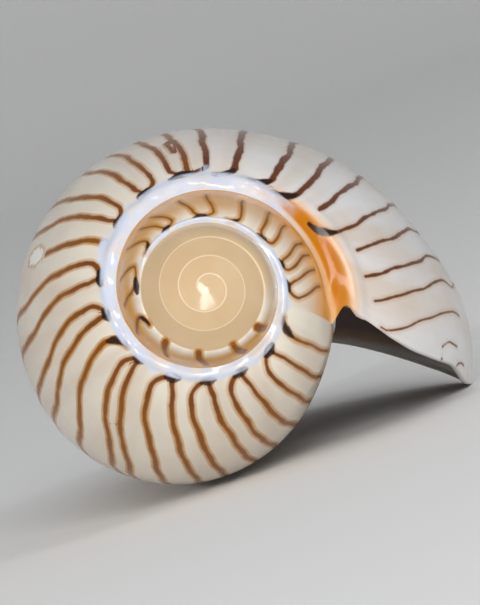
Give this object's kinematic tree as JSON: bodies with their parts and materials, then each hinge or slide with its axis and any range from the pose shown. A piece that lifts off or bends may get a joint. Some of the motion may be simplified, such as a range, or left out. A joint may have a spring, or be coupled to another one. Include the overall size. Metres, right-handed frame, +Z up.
{
  "type": "volute shell",
  "caption": "Glossy cream sea snail shell with wavy brown lines, a domed apex and a long open aperture, lying on its aperture.",
  "frame": {"origin": "on the ground, under the middle of the shell's bounding box", "axes": "+Z up; +Y along the pillar, from the apex towards the siphon end; the outer lip is on the +X side, and the shell rests on its aperture"},
  "size_m": [0.034, 0.074, 0.0258],
  "materials": {
    "shell_glaze": "polished natural glaze, cream with brown axial lines, orange at the throat"
  },
  "bodies": {
    "root": {"shell": "shell_glaze"}
  },
  "joints": []
}
